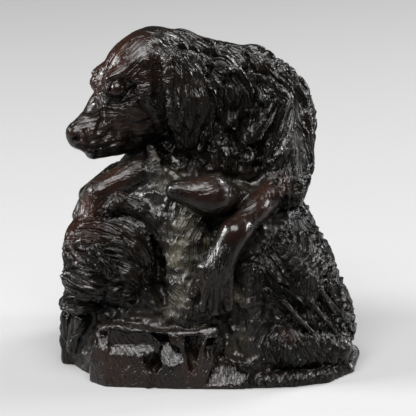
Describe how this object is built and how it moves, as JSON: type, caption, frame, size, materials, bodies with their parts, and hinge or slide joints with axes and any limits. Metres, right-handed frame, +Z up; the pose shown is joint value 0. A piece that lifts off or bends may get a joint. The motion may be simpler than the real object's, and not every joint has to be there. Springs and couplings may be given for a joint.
{
  "type": "carved wooden dog",
  "caption": "Dark carved wooden spaniel lying over a rocky mound, head turned to one side, with game and a shaggy net bag at its foot; a free-standing desk ornament on a flat underside.",
  "frame": {"origin": "centre of the bounding box, at the level of the flat underside", "axes": "+Z up, towards the crown of the dog's head; -Y is the front, with the dog's muzzle towards -X"},
  "size_m": [0.1946, 0.1596, 0.2161],
  "materials": {
    "stained_walnut": "satin, dark stained and worn"
  },
  "bodies": {
    "root": {"carved_dog": "stained_walnut"}
  },
  "joints": []
}
